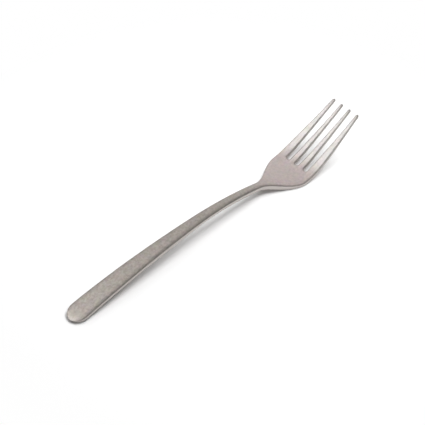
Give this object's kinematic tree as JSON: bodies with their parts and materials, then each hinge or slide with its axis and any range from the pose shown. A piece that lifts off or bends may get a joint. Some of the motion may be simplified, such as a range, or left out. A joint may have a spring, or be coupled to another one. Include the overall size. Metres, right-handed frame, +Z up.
{
  "type": "serving fork",
  "caption": "Solid stainless steel serving fork with a rounded paddle handle, slim arched neck, flat shouldered head and tapered tines that rise from a pressed bowl.",
  "frame": {"origin": "on the table, under the middle of the fork's bounding box", "axes": "+X towards the tips of the tines, +Y to the left of someone who holds the handle, +Z up from the table"},
  "size_m": [0.2304, 0.0302, 0.0262],
  "materials": {
    "stonewashed_steel": "stonewashed satin"
  },
  "bodies": {
    "root": {"fork": "stonewashed_steel"}
  },
  "joints": []
}
